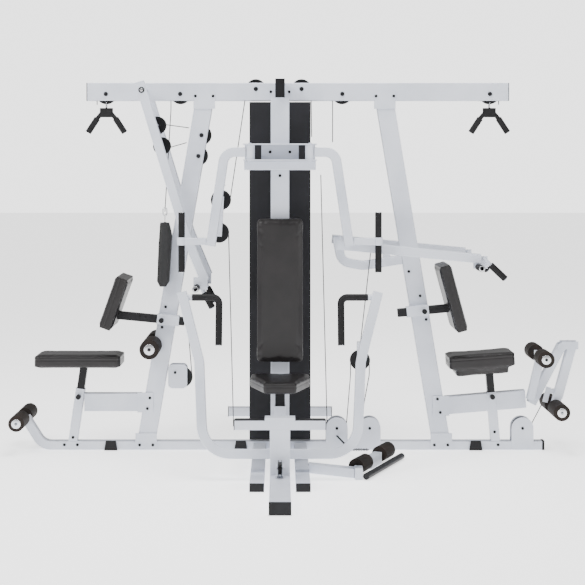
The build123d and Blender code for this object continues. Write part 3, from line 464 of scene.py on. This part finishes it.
snap_link("left_handle_link", (-1.080, 0.1935, 1.957), "Y", 0.019, "handle_left")
snap_link("right_handle_link", (1.097, 0.1935, 1.957), "Y", 0.019, "handle_right")
snap_link("strap_link", (-0.741, 0.1235, 1.352), "X", 0.022, "strap")
print("hung the snap links")

# %% [markdown]
# The pad bars are drilled in a row for a pull pin. Each hole is painted shade: a black
# disc for the dark inside of the hole, in a bright chrome lip, set just proud of the tube face.


# %% Adjustment holes
FORWARD = Vector((0, -1, 0))


def drilled(name, first, last, count, body, lip=0.0066, painted_shade_hole=0.0056, thick=0.0008, proud=0.0003):
    """Row of pin holes as discs of painted shade; first and last are points on the tube's front face."""
    for turn in range(count):
        spot = Vector(first).lerp(Vector(last), turn / (count - 1))
        disc(f"{name}_lip_{turn}", spot, FORWARD, lip, thick, chrome, body,
             bevel=0.0003, sides=24)
        # painted shade: this black disc stands for the dark inside of the pin hole
        disc(f"{name}_hole_{turn}", spot + FORWARD * proud, FORWARD, painted_shade_hole, thick, rubber, body,
             bevel=0.0002, sides=24)


drilled("chest_bar", (-0.880, 0.1140, 0.766), (-0.780, 0.1140, 0.7565), 4, "chest_support")
drilled("back_bar", (0.730, 0.1140, 0.797), (0.790, 0.1140, 0.8025), 3, "back_support")
print("drilled the pad bars")

# %% [markdown]
# A welded chain of 3.2 mm zinc-plated wire lies low, right of the tower, and ends by
# the floor rollers. Every second link is turned a quarter, and each one follows the
# line of the chain.

# %% Chain
CHAIN = [Vector(point) for point in
         ((0.229, 0.1495, 0.084), (0.297, 0.0235, 0.034), (0.385, -0.1765, 0.078))]
LINKS = 29
LINK_HALF_WIDTH = 0.0062
LINK_WIRE = 0.0016
LINK_STRETCH = 0.0035


def along_chain(share):
    """Point on the chain and the way it runs there."""
    start, middle, end = CHAIN
    if share < 0.5:
        return start.lerp(middle, share * 2), (middle - start).normalized()
    return middle.lerp(end, share * 2 - 1), (end - middle).normalized()


for turn in range(LINKS):
    spot, run = along_chain((turn + 0.5) / LINKS)
    tilt = run.to_track_quat("X", "Z").to_matrix().to_4x4()
    spin = Matrix.Rotation(math.pi / 2 * (turn % 2), 4, "X")
    bpy.ops.object.select_all(action="DESELECT")
    bpy.ops.mesh.primitive_torus_add(major_radius=LINK_HALF_WIDTH, minor_radius=LINK_WIRE,
                                     major_segments=16, minor_segments=8)
    link = bpy.context.object
    link.name = f"chain_link_{turn}"
    for vertex in link.data.vertices:
        vertex.co.x += math.copysign(LINK_STRETCH, vertex.co.x)
    link.data.transform(Matrix.Translation(spot) @ tilt @ spin)
    bpy.ops.object.shade_smooth()
    link.data.materials.append(zinc)
    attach(link, "frame")
print("linked", LINKS, "chain links")

# %% [markdown]
# ## Stack cables
# When a stack of plates rises, the cable above it is drawn over its pulley, so the
# stretch that shows gets shorter. Here each stack cable is swapped for a straight
# run of fixed length.

# %% Straight stack cables
TOWER_X = -0.093
CABLE_LONG = 1.42
CABLE_MIDDLE = 1.271
CABLE_RADIUS = 0.003
for place, y in (("front", 0.3435), ("middle", 0.6385), ("rear", 0.9335)):
    bpy.ops.object.select_all(action="DESELECT")
    bpy.ops.mesh.primitive_cylinder_add(vertices=16, radius=CABLE_RADIUS, depth=CABLE_LONG,
                                        location=(TOWER_X, y, CABLE_MIDDLE))
    run = bpy.context.object
    run.name = place + "_stack_run"
    bpy.ops.object.transform_apply(location=True, rotation=True, scale=True)
    bpy.ops.object.shade_smooth_by_angle(angle=SMOOTH_ANGLE)
    run.data.materials.append(cable_skin)
    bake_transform(run)
    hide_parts("stack_cable_" + place)
print("ran the stack cables")

# %% [markdown]
# ## Bolts that carry the pulleys
# Each pulley turns on an M10 bolt through the beam. Its black head sits on a washer
# on the front face, and the row arm hangs from a larger one with a bright centre.

# %% Pulley bolts and washers
PULLEY_BOLTS = (
    (-1.080, 2.018), (1.097, 2.018), (-0.659, 2.018), (0.260, 2.018),
    (-0.230, 2.046), (0.029, 2.046), (-0.538, 1.784), (-0.556, 1.666),
)
WASHER_Y = 0.1672
HEAD_Y = 0.1635
ROW_PIVOT = (-0.863, 2.032)
for turn, (x, z) in enumerate(PULLEY_BOLTS):
    disc(f"pulley_washer_{turn}", (x, WASHER_Y, z), FORWARD, 0.0125, 0.0018, black_coat, "frame",
         bevel=0.0004)
    disc(f"pulley_bolt_{turn}", (x, HEAD_Y, z), FORWARD, 0.0095, 0.0065, black_coat, "frame",
         bevel=0.001, sides=6)
x, z = ROW_PIVOT
for turn, (y, out) in enumerate(((0.0265, -1), (0.4195, 1))):
    disc(f"row_pivot_washer_{turn}", (x, y, z), (0, out, 0), 0.017, 0.003, black_coat, "row",
         bevel=0.0006)
    disc(f"row_pivot_bolt_{turn}", (x, y + out * 0.003, z), (0, out, 0), 0.010, 0.007, chrome, "row",
         bevel=0.001, sides=6)
print("bolted", len(PULLEY_BOLTS), "pulleys")
